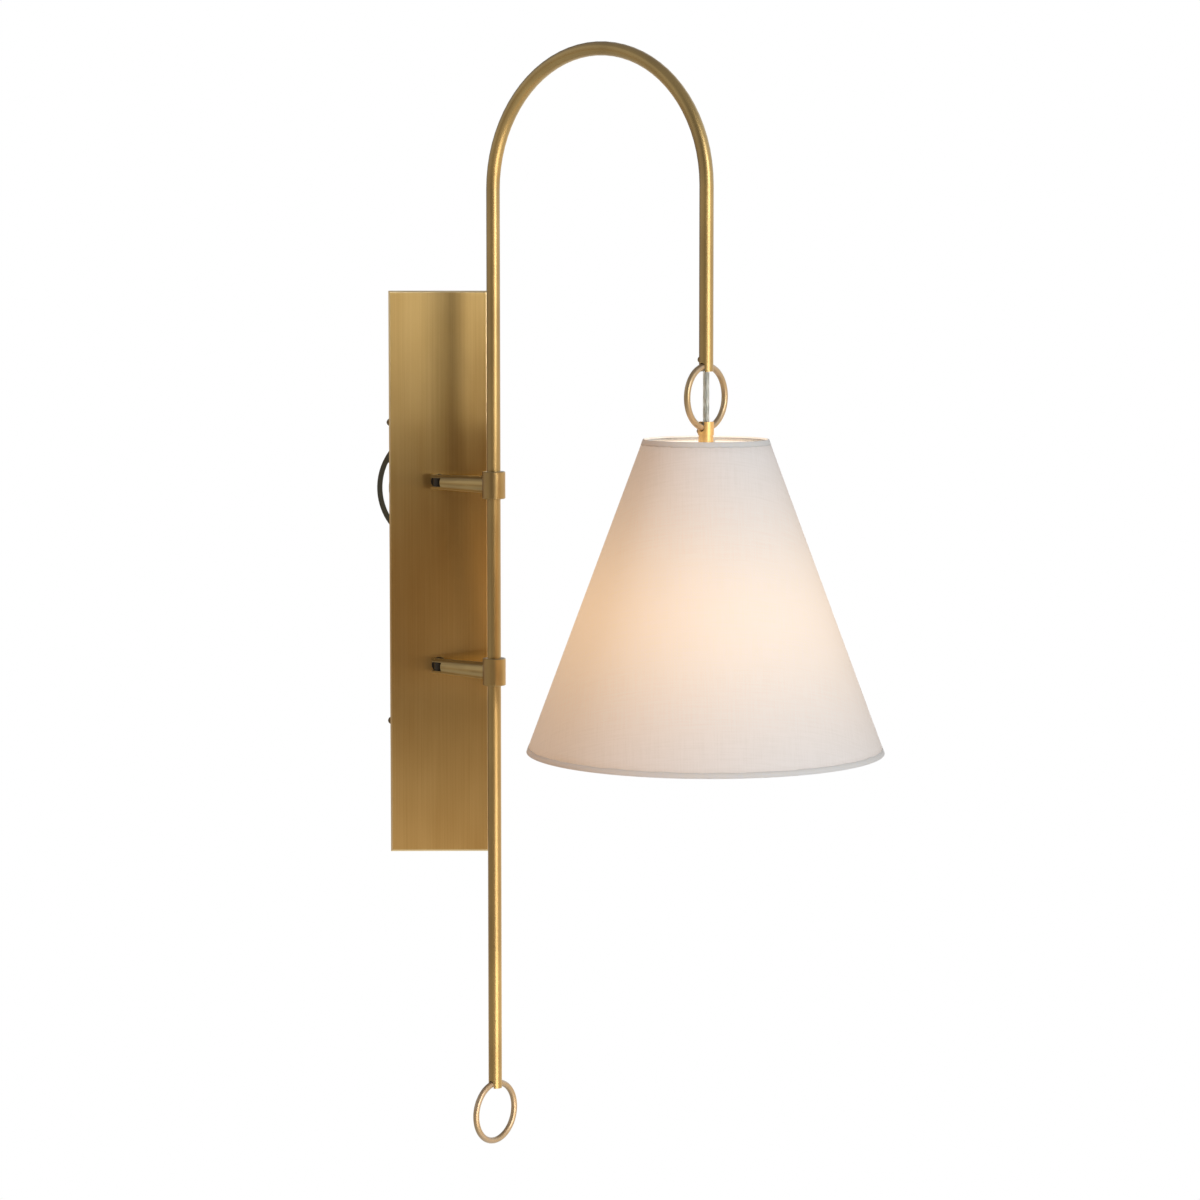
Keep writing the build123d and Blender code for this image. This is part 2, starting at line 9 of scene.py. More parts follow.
import bmesh
import bpy
from bpy.props import FloatProperty, FloatVectorProperty, IntProperty, PointerProperty
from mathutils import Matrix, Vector


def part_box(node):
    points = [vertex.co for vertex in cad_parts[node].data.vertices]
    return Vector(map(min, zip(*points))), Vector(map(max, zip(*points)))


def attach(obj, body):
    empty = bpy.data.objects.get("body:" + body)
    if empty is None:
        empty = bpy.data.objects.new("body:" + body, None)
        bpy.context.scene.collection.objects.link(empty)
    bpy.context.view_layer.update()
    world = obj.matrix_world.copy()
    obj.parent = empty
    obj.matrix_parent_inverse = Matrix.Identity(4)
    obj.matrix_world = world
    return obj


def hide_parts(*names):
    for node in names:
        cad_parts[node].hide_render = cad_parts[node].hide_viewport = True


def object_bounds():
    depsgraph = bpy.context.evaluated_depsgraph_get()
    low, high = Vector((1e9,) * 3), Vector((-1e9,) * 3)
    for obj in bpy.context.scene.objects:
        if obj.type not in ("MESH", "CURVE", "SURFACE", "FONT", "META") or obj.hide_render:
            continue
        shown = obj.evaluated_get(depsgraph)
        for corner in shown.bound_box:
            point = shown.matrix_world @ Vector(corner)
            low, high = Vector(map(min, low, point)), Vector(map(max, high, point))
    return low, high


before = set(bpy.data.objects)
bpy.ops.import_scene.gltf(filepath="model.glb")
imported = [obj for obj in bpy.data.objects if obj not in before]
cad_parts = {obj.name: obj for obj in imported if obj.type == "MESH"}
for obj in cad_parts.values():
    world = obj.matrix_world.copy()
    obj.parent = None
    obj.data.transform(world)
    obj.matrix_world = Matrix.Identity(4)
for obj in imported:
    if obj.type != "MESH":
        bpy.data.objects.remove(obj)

bl_info = {
    "name": "Swing arm wall lamp",
    "version": (1, 0, 0),
    "blender": (4, 5, 0),
    "location": "3D View > Sidebar > Lamp",
    "description": "Finishes, linen shade, cord and studio for a swing arm wall lamp",
    "category": "Object",
}

CAD_LOW, CAD_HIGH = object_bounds()
CAD_MIDDLE = (CAD_LOW + CAD_HIGH) / 2
MM = 0.001


def linear(colour):
    """Linear red, green and blue of an sRGB hex colour."""
    shares = [int(colour[i:i + 2], 16) / 255 for i in (1, 3, 5)]
    return tuple(s / 12.92 if s <= 0.04045 else ((s + 0.055) / 1.055) ** 2.4 for s in shares)


def middle(node):
    """Centre of a CAD node's box."""
    low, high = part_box(node)
    return (low + high) / 2


def rim_radius(node, axis, height, reach=0.2 * MM):
    """Largest distance of a CAD node's points from an upright axis, near a height."""
    points = [v.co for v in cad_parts[node].data.vertices if abs(v.co.z - height) < reach]
    return max(hypot(p.x - axis.x, p.y - axis.y) for p in points)


# Places that the CAD model gives
SHADE_LOW, SHADE_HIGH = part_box("shade")
SHADE_AXIS = middle("shade_top_wire")
SHADE_TOP_RADIUS = rim_radius("shade", SHADE_AXIS, SHADE_HIGH.z)
SHADE_BOTTOM_RADIUS = rim_radius("shade", SHADE_AXIS, SHADE_LOW.z)
SHADE_HEIGHT = SHADE_HIGH.z - SHADE_LOW.z
SHADE_SLANT = hypot(SHADE_HEIGHT, SHADE_BOTTOM_RADIUS - SHADE_TOP_RADIUS)
SHADE_LEAN = (SHADE_BOTTOM_RADIUS - SHADE_TOP_RADIUS) / SHADE_SLANT
ROD_AXIS = middle("upper_collar")
CORD_LOW, CORD_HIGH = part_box("lamp_cord")
ARCH_RADIUS = hypot(SHADE_AXIS.x - ROD_AXIS.x, SHADE_AXIS.y - ROD_AXIS.y) / 2
ARCH_CENTRE = Vector((*(SHADE_AXIS.xy + ROD_AXIS.xy) / 2, CORD_HIGH.z - ARCH_RADIUS))
ARM_TURN = atan2(SHADE_AXIS.y - ROD_AXIS.y, SHADE_AXIS.x - ROD_AXIS.x)

# The glow on the cloth has its middle below the bulb's, as the bulb's neck is dark
GLOW_DROP = 28 * MM
GLOW_HEIGHT = middle("bulb_glass").z - SHADE_LOW.z - GLOW_DROP

# The angle at the back of the shade where the cloth laps, and how far its end stops short of a full turn
BACK = pi / 2
LAP_GAP = 0.001

# Faces up the shade's side, round its rolled edges and round the cord
SHADE_ROWS = 24
EDGE_STEPS = 8
JACKET_SIDES = 24
STRAND_SIDES = 10

# A hand-folded hem is a little uneven: its waves round the rim, each with a start, and its fullness
HEM_WAVES = ((23, 0.0), (41, 1.3))
HEM_RIPPLE = 0.12 * MM
HEM_BULGE = 0.06 * MM

# The studio's floor and strip lights in metres, and the camera's sensor in millimetres
FLOOR_RADIUS = 5.0
STRIP_DISTANCE = 6.0
SENSOR_WIDTH = 36.0


class LampBrass(bpy.types.PropertyGroup):
    """Colours and grain of the lamp's brass."""

    plate_colour: FloatVectorProperty(
        name="Plate", description="Brushed brass of the wall plate",
        subtype="COLOR", default=linear("#d9b778"),
    )
    plate_toner: FloatVectorProperty(
        name="Plate toner", description="Darker toner left on the wall plate",
        subtype="COLOR", default=linear("#bb9353"),
    )
    # Painted highlight: a pale band round the plate's outline stands in for light caught by its rounded edge
    edge_highlight_colour: FloatVectorProperty(
        name="Burnished edges", description="Wall plate where handling has rubbed the toner off",
        subtype="COLOR", default=linear("#f2dcb0"),
    )
    edge_highlight_width: FloatProperty(
        name="Burnish", description="Width of the burnished edges",
        default=2.2 * MM, unit="LENGTH", precision=5,
    )
    tube_colour: FloatVectorProperty(
        name="Tube", description="Drawn brass of the rod, arms and collars",
        subtype="COLOR", default=linear("#a98d55"),
    )
    tube_toner: FloatVectorProperty(
        name="Tube toner", description="Darker toner left on the tube",
        subtype="COLOR", default=linear("#866c3b"),
    )
    ring_colour: FloatVectorProperty(
        name="Rings", description="Satin brass of the rings",
        subtype="COLOR", default=linear("#b39a7c"),
    )
    # Partly painted light: the hub's bright yellow stands in for the bulb's light from below
    hub_lit_colour: FloatVectorProperty(
        name="Hub", description="Bright brass of the hub",
        subtype="COLOR", default=linear("#f0bf68"),
    )
    # Painted shade: the knuckles' near-black stands in for the shade inside the fork's slot
    knuckle_shade_colour: FloatVectorProperty(
        name="Knuckles", description="Dark toned brass of the knuckles",
        subtype="COLOR", default=linear("#21180d"),
    )
    knuckle_shade_mottle: FloatVectorProperty(
        name="Worn knuckles", description="Knuckles where the dark toner is thin",
        subtype="COLOR", default=linear("#3d2f1c"),
    )
    brush_width: FloatProperty(
        name="Brush line", description="Width of a brush line",
        default=0.9 * MM, unit="LENGTH", precision=5,
    )
    brush_length: FloatProperty(
        name="Brush stroke", description="Length of a brush line", default=140 * MM, unit="LENGTH"
    )


class LampLinen(bpy.types.PropertyGroup):
    """The shade's cloth and its glow."""

    colour: FloatVectorProperty(
        name="Linen", description="Linen by daylight", subtype="COLOR", default=linear("#e5e7ec")
    )
    slub_colour: FloatVectorProperty(
        name="Slubs", description="Thicker threads", subtype="COLOR", default=linear("#e0e2e6")
    )
    edge_colour: FloatVectorProperty(
        name="Edges", description="Rolled edges of the cloth", subtype="COLOR", default=linear("#e2e2e0")
    )
    edge_light: FloatProperty(
        name="Edge light", description="Share of the glow that the layers of an edge let through",
        default=0.3, min=0.0, max=1.0, subtype="FACTOR",
    )
    glow_colour: FloatVectorProperty(
        name="Glow", description="Lamplight through the cloth", subtype="COLOR", default=linear("#ffcc84")
    )
    glow: FloatProperty(name="Glow strength", description="Glow beside the bulb", default=0.42, min=0.0)
    glow_fall: FloatProperty(
        name="Glow falloff", description="Power of the distance with which the glow fades", default=2.3
    )
    glow_mirrored: FloatProperty(
        name="Mirrored glow", description="How many times brighter the brass sees the glow", default=2.1
    )
    inside_colour: FloatVectorProperty(
        name="Inside", description="Lamplight on the shade's inside",
        subtype="COLOR", default=linear("#ffe9d2"),
    )
    inside_low: FloatProperty(
        name="Low inside", description="Light on the inside at the bottom rim", default=0.168, min=0.0
    )
    inside_top: FloatProperty(
        name="Top inside", description="Light on the inside at the top rim", default=0.624, min=0.0
    )
    thread: FloatProperty(
        name="Thread spacing", description="From one thread to the next",
        default=1.1 * MM, unit="LENGTH", precision=5,
    )
    thickness: FloatProperty(
        name="Wall", description="Cloth and stiff backing",
        default=0.9 * MM, unit="LENGTH", precision=5,
    )
    hem: FloatProperty(
        name="Rolled edge", description="Height of the rolled edge",
        default=4.2 * MM, unit="LENGTH", precision=5,
    )
    turn_in: FloatProperty(
        name="Turned-in edge", description="Height of the rolled edge inside",
        default=1.5 * MM, unit="LENGTH", precision=5,
    )
    tape: FloatProperty(
        name="Hem cloth", description="Thickness of the folded edge",
        default=0.15 * MM, unit="LENGTH", precision=5,
    )
    lap: FloatProperty(
        name="Back lap", description="Width of the glued lap at the back",
        default=14 * MM, unit="LENGTH", precision=5,
    )
    lap_rise: FloatProperty(
        name="Lap step", description="How far the lapped end stands out",
        default=0.4 * MM, unit="LENGTH", precision=5,
    )
    sides: IntProperty(name="Sides", description="Faces round the shade", default=240, min=24)


class LampCord(bpy.types.PropertyGroup):
    """The clear cord that crosses the hanger ring."""

    jacket_colour: FloatVectorProperty(
        name="Jacket", description="Clear soft plastic", subtype="COLOR", default=linear("#e9e9e2")
    )
    strand_colour: FloatVectorProperty(
        name="Strands", description="Tinned copper strands", subtype="COLOR", default=linear("#b9bab2")
    )
    diameter: FloatProperty(
        name="Diameter", description="Outside of the jacket",
        default=5.0 * MM, unit="LENGTH", precision=5,
    )
    strand_diameter: FloatProperty(
        name="Strand", description="Each of the two twisted strands",
        default=1.7 * MM, unit="LENGTH", precision=5,
    )
    twist: FloatProperty(
        name="Twist", description="Length of one full twist", default=24 * MM, unit="LENGTH", precision=4
    )
    steps: IntProperty(
        name="Steps", description="Points on each stretch of the cord's route", default=80, min=8
    )


class LampStudio(bpy.types.PropertyGroup):
    """Camera, floor and lights."""

    camera_place: FloatVectorProperty(
        name="Camera", description="Where the camera stands",
        subtype="TRANSLATION", default=(0.0934, -2.7633, 0.1836),
    )
    camera_pitch: FloatProperty(
        name="Pitch", description="How far the camera looks down", default=radians(4.507), subtype="ANGLE"
    )
    camera_yaw: FloatProperty(
        name="Yaw", description="How far the camera turns right", default=radians(0.857), subtype="ANGLE"
    )
    lens: FloatProperty(name="Lens", description="Focal length", default=98.855, unit="CAMERA")
    shift: FloatProperty(name="Shift", description="Upright shift, as a share of the frame", default=-0.06)
    floor_drop: FloatProperty(
        name="Floor", description="Floor below the wall box", default=3.2, unit="LENGTH"
    )
    floor_light: FloatProperty(
        name="Floor light", description="Lifts the floor towards the white background", default=0.8
    )
    key: FloatProperty(name="Key", description="Tall soft light at the right", default=34.0, unit="POWER")
    fill: FloatProperty(name="Fill", description="Warm soft light at the left", default=16.0, unit="POWER")
    overhead: FloatProperty(name="Overhead", description="Soft light above", default=2.0, unit="POWER")
    back: FloatProperty(name="Back", description="Soft light behind", default=18.0, unit="POWER")
    ambient: FloatProperty(name="Ambient", description="Light from all round", default=0.275)
    strip: FloatProperty(name="Strips", description="Brightness of the strip lights in gloss", default=9.2)


# Helpers for nodes, meshes and finishes


def add(tree, kind, inputs=None, **settings):
    """Adds a node. Settings are its own options, and inputs are values or other nodes' sockets."""
    node = tree.nodes.new(kind)
    for name, value in settings.items():
        setattr(node, name, value)
    for name, value in (inputs or {}).items():
        if isinstance(value, bpy.types.NodeSocket):
            tree.links.new(value, node.inputs[name])
        else:
            node.inputs[name].default_value = value
    return node


def solid(colour):
    """A colour with full alpha."""
    return (*colour, 1.0)


def start_finish(name, **settings):
    """A new material: the material, its node tree, its shader with settings, and object coordinates."""
    material = bpy.data.materials.new(name)
    material.use_nodes = True
    tree = material.node_tree
    shader = tree.nodes["Principled BSDF"]
    for label, value in settings.items():
        shader.inputs[label.replace("_", " ")].default_value = value
    place = add(tree, "ShaderNodeTexCoord").outputs["Object"]
    return material, tree, shader, place


def feed(tree, shader, **sockets):
    """Links sockets to the shader's inputs."""
    for label, socket in sockets.items():
        tree.links.new(socket, shader.inputs[label.replace("_", " ")])


def grain(tree, place, size, detail=3.0):
    """Noise whose cells have a real size along x, y and z."""
    scale = tuple(1 / length for length in size)
    cells = add(tree, "ShaderNodeVectorMath", {0: place, 1: scale}, operation="MULTIPLY")
    noise = add(tree, "ShaderNodeTexNoise", {"Vector": cells.outputs[0], "Scale": 1.0, "Detail": detail})
    return noise.outputs["Fac"]


def roughen(tree, shader, relief, roughness, uneven, strength, depth=0.1 * MM):
    """Gives a shader a roughness that a relief makes uneven, and a shallow bump of the same relief."""
    dull = add(
        tree, "ShaderNodeMapRange",
        {"Value": relief, "To Min": roughness - uneven, "To Max": roughness + uneven},
    )
    bump = add(tree, "ShaderNodeBump", {"Height": relief, "Strength": strength, "Distance": depth})
    feed(tree, shader, Roughness=dull.outputs[0], Normal=bump.outputs[0])


def along_arms(tree, place):
    """Coordinates whose x runs along the swing arms."""
    turn = {"Vector": place, "Angle": -ARM_TURN}
    return add(tree, "ShaderNodeVectorRotate", turn, rotation_type="Z_AXIS").outputs[0]


def along_crook(tree, place):
    """Coordinates that follow the bent tube: x is the distance from the arch's middle line, and over the arch
    from its centre, y is sideways and z is the height."""
    moved = add(tree, "ShaderNodeVectorMath", {0: place, 1: ARCH_CENTRE}, operation="SUBTRACT")
    axes = add(tree, "ShaderNodeSeparateXYZ", {0: along_arms(tree, moved.outputs[0])})
    above = add(tree, "ShaderNodeMath", {0: axes.outputs["Z"], 1: 0.0}, operation="MAXIMUM")
    spoke = add(tree, "ShaderNodeCombineXYZ", {"X": axes.outputs["X"], "Z": above.outputs[0]})
    reach = add(tree, "ShaderNodeVectorMath", {0: spoke.outputs[0]}, operation="LENGTH")
    follow = add(
        tree, "ShaderNodeCombineXYZ",
        {"X": reach.outputs["Value"], "Y": axes.outputs["Y"], "Z": axes.outputs["Z"]},
    )
    return follow.outputs[0]


def dress(material, *nodes):
    """Gives CAD nodes a finish."""
    for name in nodes:
        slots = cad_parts[name].data.materials
        slots.clear()
        slots.append(material)


def piece_from(name, mesh_bits, material, body, replaced, place=(0, 0, 0)):
    """A smooth new piece that rides on a body, in place of CAD nodes."""
    mesh = bpy.data.meshes.new(name)
    mesh_bits.to_mesh(mesh)
    mesh_bits.free()
    mesh.shade_smooth()
    mesh.materials.append(material)
    piece = bpy.data.objects.new(name, mesh)
    piece.location = place
    bpy.context.scene.collection.objects.link(piece)
    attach(piece, body)
    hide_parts(*replaced)
    return piece


# Finishes: brass


def brushed_brass():
    """Sheet brass, belt-brushed upright, toned and lacquered: it smears reflections sideways and shows fine
    upright lines. The lines are drawn several times wider than real ones, so that they show."""
    brass = bpy.context.scene.lamp_brass
    material, tree, shader, place = start_finish("brushed sheet brass", Metallic=1.0, Anisotropic=1.0)
    strokes = grain(tree, place, (brass.brush_width, brass.brush_width, brass.brush_length), 4.0)
    drift = grain(tree, place, (40 * MM, 40 * MM, 130 * MM), 2.0)
    streaks = add(
        tree, "ShaderNodeMapRange",
        {"Value": strokes, "From Min": 0.3, "From Max": 0.7, "To Min": 0.0, "To Max": 0.3},
    )
    clouds = add(
        tree, "ShaderNodeMapRange",
        {"Value": drift, "From Min": 0.3, "From Max": 0.7, "To Min": 0.0, "To Max": 0.5},
    )
    cover = add(
        tree, "ShaderNodeMath", {0: streaks.outputs[0], 1: clouds.outputs[0]}, operation="ADD", use_clamp=True
    )
    toned = add(
        tree, "ShaderNodeMix",
        {0: cover.outputs[0], 6: solid(brass.plate_colour), 7: solid(brass.plate_toner)}, data_type="RGBA",
    )
    # A pale band painted round the plate's outline: a painted highlight where its rounded edge catches the
    # light
    edge_lit = add(
        tree, "ShaderNodeMix",
        {0: plate_edge(tree, place, brass.edge_highlight_width), 6: toned.outputs[2], 7: solid(brass.edge_highlight_colour)},
        data_type="RGBA",
    )
    along = add(tree, "ShaderNodeTangent", direction_type="RADIAL", axis="Z")
    feed(tree, shader, Base_Color=edge_lit.outputs[2], Tangent=along.outputs[0])
    roughen(tree, shader, strokes, roughness=0.3, uneven=0.03, strength=0.12)
    return material


def plate_edge(tree, place, width):
    """1 at the wall plate's outline, falling to 0 at a width inside it: the mask of the painted edge
    highlight.
    """
    low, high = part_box("backplate")
    heart = (low + high) / 2
    span = (high - low) / 2
    moved = add(tree, "ShaderNodeVectorMath", {0: place, 1: heart}, operation="SUBTRACT")
    size = add(tree, "ShaderNodeVectorMath", {0: moved.outputs[0]}, operation="ABSOLUTE")
    past = add(tree, "ShaderNodeVectorMath", {0: size.outputs[0], 1: span}, operation="SUBTRACT")
    axes = add(tree, "ShaderNodeSeparateXYZ", {0: past.outputs[0]})
    nearest = add(tree, "ShaderNodeMath", {0: axes.outputs["X"], 1: axes.outputs["Z"]}, operation="MAXIMUM")
    edge_share = add(
        tree, "ShaderNodeMapRange",
        {"Value": nearest.outputs[0], "From Min": -width, "From Max": -width / 4},
        interpolation_type="SMOOTHSTEP",
    )
    return edge_share.outputs[0]


def drawn_brass(name, colour, toner, roughness, line_size, streak=0.15, follow=None):
    """Drawn or turned brass, toned and lacquered: satin, with faint draw lines and a cloudy toner. The lines'
    sizes are along x, y and z, or along the coordinates that a function gives. The lines are drawn several
    times wider than real ones, so that they show."""
    material, tree, shader, place = start_finish(name, Metallic=1.0, Coat_Weight=0.8, Coat_Roughness=0.36)
    lines = grain(tree, follow(tree, place) if follow else place, line_size, 3.0)
    clouds = grain(tree, place, (35 * MM, 35 * MM, 60 * MM), 2.0)
    cover = add(
        tree, "ShaderNodeMapRange",
        {"Value": clouds, "From Min": 0.35, "From Max": 0.7, "To Min": 0.0, "To Max": 0.55},
    )
    streaks = add(
        tree, "ShaderNodeMapRange",
        {"Value": lines, "From Min": 0.35, "From Max": 0.65, "To Min": -streak, "To Max": streak},
    )
    share = add(
        tree, "ShaderNodeMath", {0: cover.outputs[0], 1: streaks.outputs[0]}, operation="ADD", use_clamp=True
    )
    tint = add(
        tree, "ShaderNodeMix", {0: share.outputs[0], 6: solid(colour), 7: solid(toner)}, data_type="RGBA"
    )
    feed(tree, shader, Base_Color=tint.outputs[2])
    roughen(tree, shader, lines, roughness, uneven=0.02, strength=0.01)
    return material


def bare_metal(name, colour, roughness, cell, spread=0.12, metallic=1.0):
    """Small hardware: a plated, coated or blackened metal with a mottled, slightly uneven sheen. The mottle
    is drawn coarser than real, so that it shows."""
    material, tree, shader, place = start_finish(name, Metallic=metallic)
    mottle = grain(tree, place, (cell, cell, cell), 3.0)
    tone = add(
        tree, "ShaderNodeMapRange",
        {"Value": mottle, "From Min": 0.3, "From Max": 0.7, "To Min": 1 - spread, "To Max": 1 + spread},
    )
    tint = add(
        tree, "ShaderNodeMix", {0: 1.0, 6: solid(colour), 7: tone.outputs[0]},
        data_type="RGBA", blend_type="MULTIPLY",
    )
    feed(tree, shader, Base_Color=tint.outputs[2])
    roughen(tree, shader, mottle, roughness, uneven=0.08, strength=0.08)
    return material


# Finishes: cloth, plastic and glass


def lit_linen(name, colour, share):
    """Plain-woven linen on a stiff backing, lit from inside: matt and off-white, with slubs, and a warm glow
    that falls off with the distance from the bulb. The threads are drawn at about twice their real spacing.
    A rolled edge has several layers, so it lets only a share of the light through."""
    linen = bpy.context.scene.lamp_linen
    material, tree, shader, place = start_finish(
        name, Roughness=0.85, Sheen_Weight=0.1, Specular_IOR_Level=0.2
    )
    cloth = add(tree, "ShaderNodeUVMap", uv_map="cloth").outputs[0]
    slubs = linen_slubs(tree, cloth)
    tint = add(
        tree, "ShaderNodeMix", {0: slubs, 6: solid(colour), 7: solid(linen.slub_colour)}, data_type="RGBA"
    )
    weave = linen_weave(tree, cloth)
    height = add(tree, "ShaderNodeMath", {0: slubs, 1: 0.8, 2: weave}, operation="MULTIPLY_ADD")
    relief = add(
        tree, "ShaderNodeBump", {"Height": height.outputs[0], "Strength": 0.045, "Distance": 0.15 * MM}
    )
    inside = shade_inside(tree, place)
    lamplight = add(
        tree, "ShaderNodeMix", {0: inside, 6: solid(linen.glow_colour), 7: solid(linen.inside_colour)},
        data_type="RGBA",
    )
    glow = outside_glow(tree, place, slubs, share)
    strength = add(tree, "ShaderNodeMix", {0: inside, 2: glow, 3: inside_glow(tree, place)})
    feed(
        tree, shader,
        Base_Color=tint.outputs[2], Normal=relief.outputs[0],
        Emission_Color=lamplight.outputs[2], Emission_Strength=strength.outputs[0],
    )
    return material


def linen_slubs(tree, cloth):
    """1 where threads of the warp or the weft are thick, and 0 where they are thin."""
    warp = grain(tree, cloth, (1.2 * MM, 26 * MM, 1.0), 2.0)
    weft = grain(tree, cloth, (30 * MM, 1.2 * MM, 1.0), 2.0)
    both = add(tree, "ShaderNodeMath", {0: warp, 1: weft}, operation="ADD")
    thick = add(tree, "ShaderNodeMapRange", {"Value": both.outputs[0], "From Min": 0.85, "From Max": 1.3})
    return thick.outputs[0]


def linen_weave(tree, cloth):
    """Height of a plain weave, with a thread to each half wave both ways."""
    count = pi / bpy.context.scene.lamp_linen.thread
    turns = add(tree, "ShaderNodeVectorMath", {0: cloth, 1: (count, count, 0)}, operation="MULTIPLY")
    threads = add(tree, "ShaderNodeVectorMath", {0: turns.outputs[0]}, operation="SINE")
    sides = add(tree, "ShaderNodeSeparateXYZ", {0: threads.outputs[0]})
    weave = add(tree, "ShaderNodeMath", {0: sides.outputs["X"], 1: sides.outputs["Y"]}, operation="MULTIPLY")
    return weave.outputs[0]


def outside_glow(tree, place, slubs, share):
    """Strength of the bulb's light through the cloth: most where the bulb is nearest, less through slubs."""
    linen = bpy.context.scene.lamp_linen
    nearest = cone_radius(GLOW_HEIGHT) * SHADE_HEIGHT / SHADE_SLANT
    path = add(tree, "ShaderNodeVectorMath", {0: place, 1: (0.0, 0.0, GLOW_HEIGHT)}, operation="SUBTRACT")
    reach = add(tree, "ShaderNodeVectorMath", {0: path.outputs[0]}, operation="LENGTH")
    near = add(tree, "ShaderNodeMath", {0: nearest, 1: reach.outputs["Value"]}, operation="DIVIDE")
    fall = add(tree, "ShaderNodeMath", {0: near.outputs[0], 1: linen.glow_fall}, operation="POWER")
    shine = add(tree, "ShaderNodeMath", {0: fall.outputs[0], 1: linen.glow * share}, operation="MULTIPLY")
    # The lit cloth is brighter than white can show, so it counts for more in the brass that mirrors it
    gloss = add(tree, "ShaderNodeLightPath").outputs["Is Glossy Ray"]
    boost = add(tree, "ShaderNodeMapRange", {"Value": gloss, "To Min": 1.0, "To Max": linen.glow_mirrored})
    bright = add(tree, "ShaderNodeMath", {0: shine.outputs[0], 1: boost.outputs[0]}, operation="MULTIPLY")
    veil = add(tree, "ShaderNodeMapRange", {"Value": slubs, "To Min": 1.01, "To Max": 0.98})
    glow = add(tree, "ShaderNodeMath", {0: bright.outputs[0], 1: veil.outputs[0]}, operation="MULTIPLY")
    return glow.outputs[0]


def inside_glow(tree, place):
    """Strength of the bulb's light on the shade's inside: more at the top, where the cone is narrower."""
    linen = bpy.context.scene.lamp_linen
    rise = add(tree, "ShaderNodeSeparateXYZ", {0: place}).outputs["Z"]
    slope = (linen.inside_top - linen.inside_low) / SHADE_HEIGHT
    glow = add(tree, "ShaderNodeMath", {0: rise, 1: slope, 2: linen.inside_low}, operation="MULTIPLY_ADD")
    return glow.outputs[0]


def shade_inside(tree, place):
    """1 on the shade's inner side, and 0 on its outer side."""
    slope = (SHADE_TOP_RADIUS - SHADE_BOTTOM_RADIUS) / SHADE_HEIGHT
    heart = SHADE_BOTTOM_RADIUS - bpy.context.scene.lamp_linen.thickness / 2
    level = add(tree, "ShaderNodeVectorMath", {0: place, 1: (1, 1, 0)}, operation="MULTIPLY")
    reach = add(tree, "ShaderNodeVectorMath", {0: level.outputs[0]}, operation="LENGTH")
    rise = add(tree, "ShaderNodeSeparateXYZ", {0: place}).outputs["Z"]
    wall = add(tree, "ShaderNodeMath", {0: rise, 1: slope, 2: heart}, operation="MULTIPLY_ADD")
    inside = add(
        tree, "ShaderNodeMath", {0: reach.outputs["Value"], 1: wall.outputs[0]}, operation="LESS_THAN"
    )
    return inside.outputs[0]


def plain_plastic(name, colour, roughness, cell):
    """Moulded or pressed plastic: an even colour with a faint mottle, drawn coarser than real, and a soft
    sheen."""
    return bare_metal(name, colour, roughness, cell, spread=0.06, metallic=0.0)


def clear_pvc():
    """Extruded clear PVC: see-through, slightly hazy, glossy."""
    cord = bpy.context.scene.lamp_cord
    material, tree, shader, place = start_finish(
        "clear extruded PVC", IOR=1.53, Transmission_Weight=1.0, Base_Color=solid(cord.jacket_colour)
    )
    haze = grain(tree, place, (3 * MM, 3 * MM, 12 * MM), 2.0)
    dull = add(tree, "ShaderNodeMapRange", {"Value": haze, "To Min": 0.25, "To Max": 0.45})
    feed(tree, shader, Roughness=dull.outputs[0])
    return material


def frosted_bulb():
    """Frosted bulb glass, lit: white glass with a warm even light. The frost's grain is drawn coarser than
    real, so that it shows."""
    material, tree, shader, place = start_finish(
        "frosted bulb glass", Roughness=0.35, Emission_Strength=3.0, Emission_Color=solid(linear("#ffe4c4"))
    )
    frost = grain(tree, place, (2 * MM, 2 * MM, 2 * MM), 2.0)
    tint = add(
        tree, "ShaderNodeMix", {0: frost, 6: solid(linear("#f6efe2")), 7: solid(linear("#fffaf0"))},
        data_type="RGBA",
    )
    feed(tree, shader, Base_Color=tint.outputs[2])
    return material


# Shapes


def cone_radius(height):
    """Outer radius of the shade at a height above its bottom rim."""
    return SHADE_BOTTOM_RADIUS + (SHADE_TOP_RADIUS - SHADE_BOTTOM_RADIUS) * height / SHADE_HEIGHT


def level_wall():
    """Thickness of the shade's slanted wall, measured level."""
    return bpy.context.scene.lamp_linen.thickness * SHADE_SLANT / SHADE_HEIGHT


def flat_place(angle, point):
    """Place on the shade's flat cut, an arc of cloth whose ends meet at the back, in metres."""
    from_apex = hypot(point.x, point.y) / SHADE_LEAN
    turn = (angle - BACK - pi) * SHADE_LEAN
    return (from_apex * sin(turn), from_apex * cos(turn))


def spin(profile, angles):
    """Mesh of a closed outline of (radius, height) points, which may change with the angle, turned round the
    shade's axis. Its UV map is the flat cut of the cloth."""
    bits = bmesh.new()
    uv = bits.loops.layers.uv.new("cloth")
    rings = []
    for angle in angles:
        rings.append([bits.verts.new((r * cos(angle), r * sin(angle), z)) for r, z in profile(angle)])
    for i, ring in enumerate(rings):
        beside = rings[i + 1 - len(rings)]
        start = angles[i]
        end = angles[i + 1] if i + 1 < len(angles) else angles[0] + tau
        for j, corner in enumerate(ring):
            k = j + 1 - len(ring)
            face = bits.faces.new((corner, beside[j], beside[k], ring[k]))
            for loop, angle in zip(face.loops, (start, end, end, start)):
                loop[uv].uv = flat_place(angle, loop.vert.co)
    bmesh.ops.recalc_face_normals(bits, faces=bits.faces)
    return bits


def shade_angles(count):
    """Angles round the shade from the lap at the back, with a last one close to the lap's edge."""
    return [BACK + tau * i / count for i in range(count)] + [BACK + tau - LAP_GAP]


